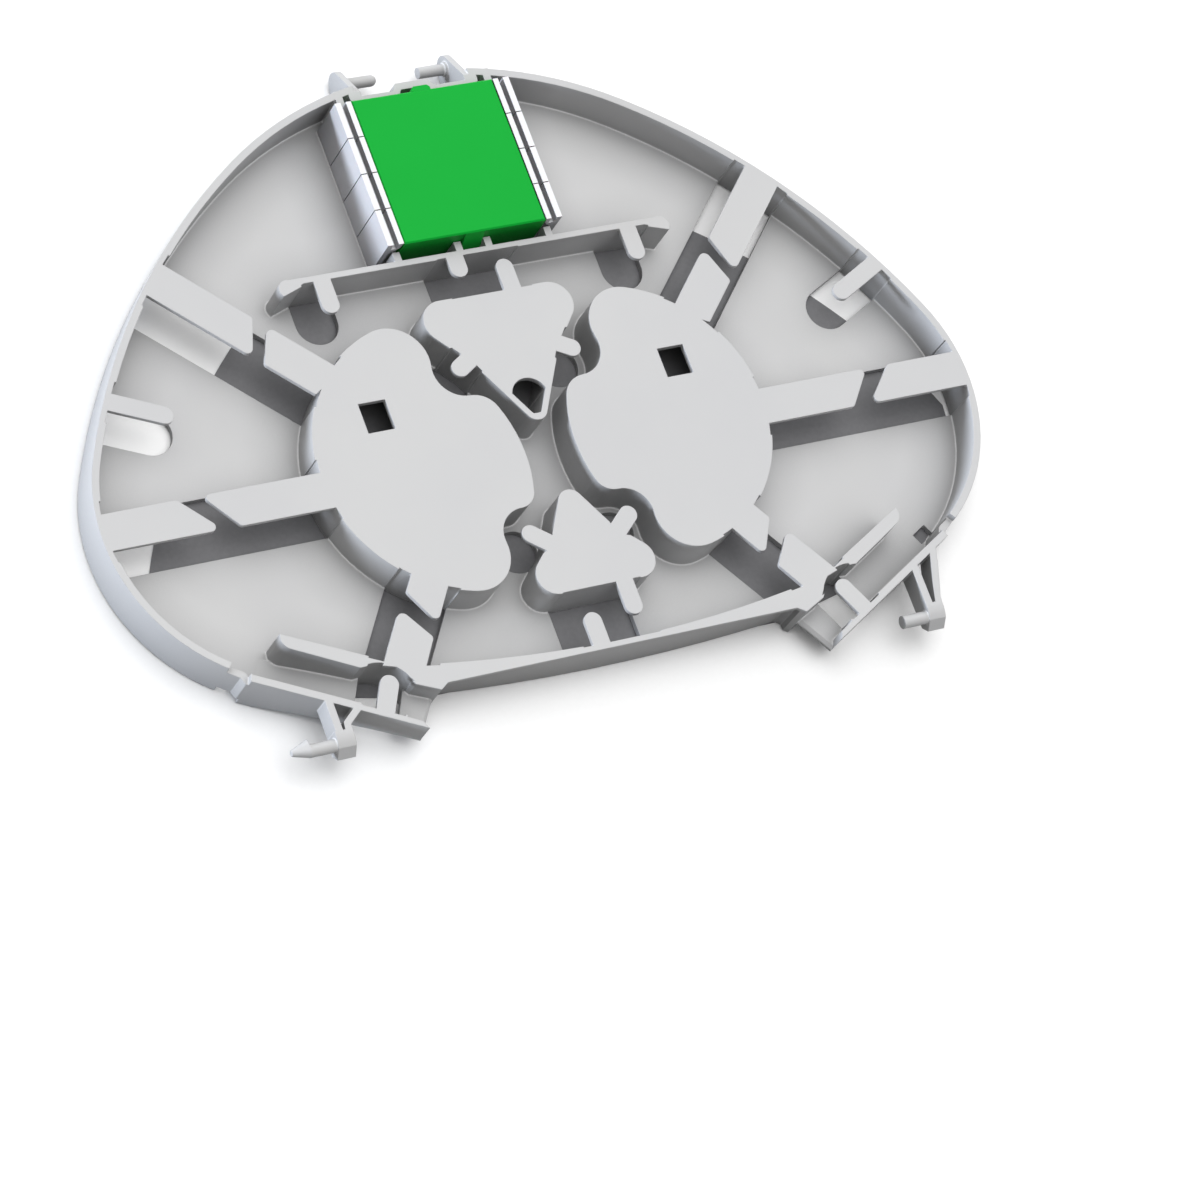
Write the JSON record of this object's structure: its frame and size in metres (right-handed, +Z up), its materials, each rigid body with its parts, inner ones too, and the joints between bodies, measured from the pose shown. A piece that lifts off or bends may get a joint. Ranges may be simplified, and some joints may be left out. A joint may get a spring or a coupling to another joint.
{
  "type": "fibre patch cassette",
  "caption": "Flat swing-out fibre patch tray with winding drums, retaining fingers and a block of couplers under dust caps.",
  "frame": {"origin": "centre of the bounding box's bottom face", "axes": "+X across the tray, along its greatest width, +Y from the front hinge arms to the rear ears, +Z up"},
  "size_m": [0.2188, 0.1629, 0.0148],
  "materials": {
    "tray": "fine spark-eroded texture, light grey",
    "housing": "satin moulded green",
    "cap": "smooth moulded white",
    "latch": "natural moulded resin",
    "sleeve": "ground ceramic"
  },
  "bodies": {
    "cassette": {"cassette_tray": "tray", "adapter_housing": "housing", "latch_insert_left_1": "latch", "latch_insert_left_2": "latch", "latch_insert_left_3": "latch", "latch_insert_left_4": "latch", "latch_insert_right_1": "latch", "latch_insert_right_2": "latch", "latch_insert_right_3": "latch", "latch_insert_right_4": "latch", "alignment_sleeve_1": "sleeve", "alignment_sleeve_2": "sleeve", "alignment_sleeve_3": "sleeve", "alignment_sleeve_4": "sleeve"},
    "cap_left_1": {"dust_cap_left_1": "cap"},
    "cap_left_2": {"dust_cap_left_2": "cap"},
    "cap_left_3": {"dust_cap_left_3": "cap"},
    "cap_left_4": {"dust_cap_left_4": "cap"},
    "cap_right_1": {"dust_cap_right_1": "cap"},
    "cap_right_2": {"dust_cap_right_2": "cap"},
    "cap_right_3": {"dust_cap_right_3": "cap"},
    "cap_right_4": {"dust_cap_right_4": "cap"}
  },
  "joints": [
    {"name": "pull_cap_left_1", "type": "slide", "parent": "cassette", "child": "cap_left_1", "axis": [-1, 0, 0], "range_m": [0, 0.0055]},
    {"name": "pull_cap_left_2", "type": "slide", "parent": "cassette", "child": "cap_left_2", "axis": [-1, 0, 0], "range_m": [0, 0.0055]},
    {"name": "pull_cap_left_3", "type": "slide", "parent": "cassette", "child": "cap_left_3", "axis": [-1, 0, 0], "range_m": [0, 0.0055]},
    {"name": "pull_cap_left_4", "type": "slide", "parent": "cassette", "child": "cap_left_4", "axis": [-1, 0, 0], "range_m": [0, 0.0055]},
    {"name": "pull_cap_right_1", "type": "slide", "parent": "cassette", "child": "cap_right_1", "axis": [1, 0, 0], "range_m": [0, 0.0055]},
    {"name": "pull_cap_right_2", "type": "slide", "parent": "cassette", "child": "cap_right_2", "axis": [1, 0, 0], "range_m": [0, 0.0055]},
    {"name": "pull_cap_right_3", "type": "slide", "parent": "cassette", "child": "cap_right_3", "axis": [1, 0, 0], "range_m": [0, 0.0055]},
    {"name": "pull_cap_right_4", "type": "slide", "parent": "cassette", "child": "cap_right_4", "axis": [1, 0, 0], "range_m": [0, 0.0055]}
  ]
}
